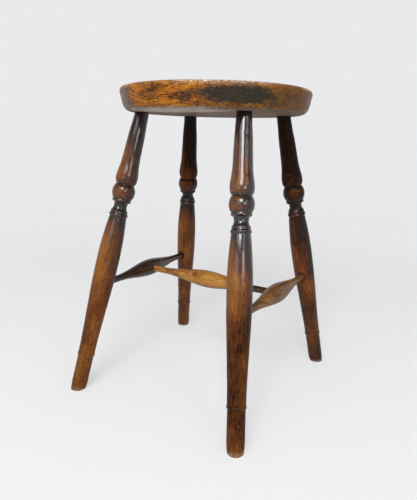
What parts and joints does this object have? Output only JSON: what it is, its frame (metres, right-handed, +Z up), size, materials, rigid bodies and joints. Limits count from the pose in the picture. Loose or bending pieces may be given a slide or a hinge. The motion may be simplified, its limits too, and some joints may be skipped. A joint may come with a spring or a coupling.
{
  "type": "turned stool",
  "caption": "Country stool with a thick round wooden seat on splayed turned legs, tied by an H of swollen turned stretchers.",
  "frame": {"origin": "on the floor, midway between the feet", "axes": "+Z up; the side stretchers run along Y, the cross stretcher along X; -Y is the front"},
  "size_m": [0.4316, 0.448, 0.607],
  "materials": {
    "seat_elm": "waxed amber elm, worn and stained",
    "leg_wood": "dark red-brown polish, glossy",
    "side_stretcher_wood": "dark brown polish, rubbed",
    "cross_stretcher_wood": "golden brown polish, rubbed"
  },
  "bodies": {
    "root": {"seat": "seat_elm", "leg_front_left": "leg_wood", "leg_front_right": "leg_wood", "leg_back_left": "leg_wood", "leg_back_right": "leg_wood", "side_stretcher_left": "side_stretcher_wood", "side_stretcher_right": "side_stretcher_wood", "cross_stretcher": "cross_stretcher_wood"}
  },
  "joints": []
}
